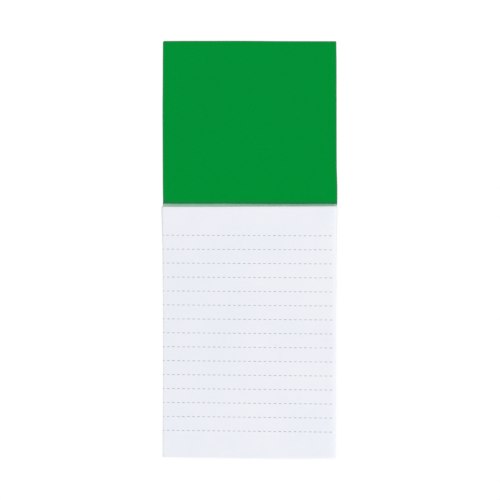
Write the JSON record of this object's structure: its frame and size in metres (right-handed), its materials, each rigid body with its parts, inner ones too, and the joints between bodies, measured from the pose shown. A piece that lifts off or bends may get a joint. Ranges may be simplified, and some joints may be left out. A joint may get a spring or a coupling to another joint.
{
  "type": "magnetic notepad",
  "caption": "Slim notepad for a fridge door: a long green card with a bare header, a bound block of dotted-line sheets below it and a flexible magnet sheet on the back.",
  "frame": {"origin": "centre of the footprint at the lowest face, which is the back of the magnet sheet", "axes": "+X to the reader's right, +Y towards the bare header, +Z out of the face that is written on"},
  "size_m": [0.0812, 0.192, 0.0059],
  "materials": {
    "card": "printed green, soft satin",
    "paper": "smooth uncoated",
    "glue": "dried milky padding glue",
    "ink": "matt grey print",
    "magnet": "matt, finely textured"
  },
  "bodies": {
    "root": {"backing_card": "card", "page_block": "paper", "binding_glue": "glue", "ruling_ink": "ink", "magnet_sheet": "magnet"}
  },
  "joints": []
}
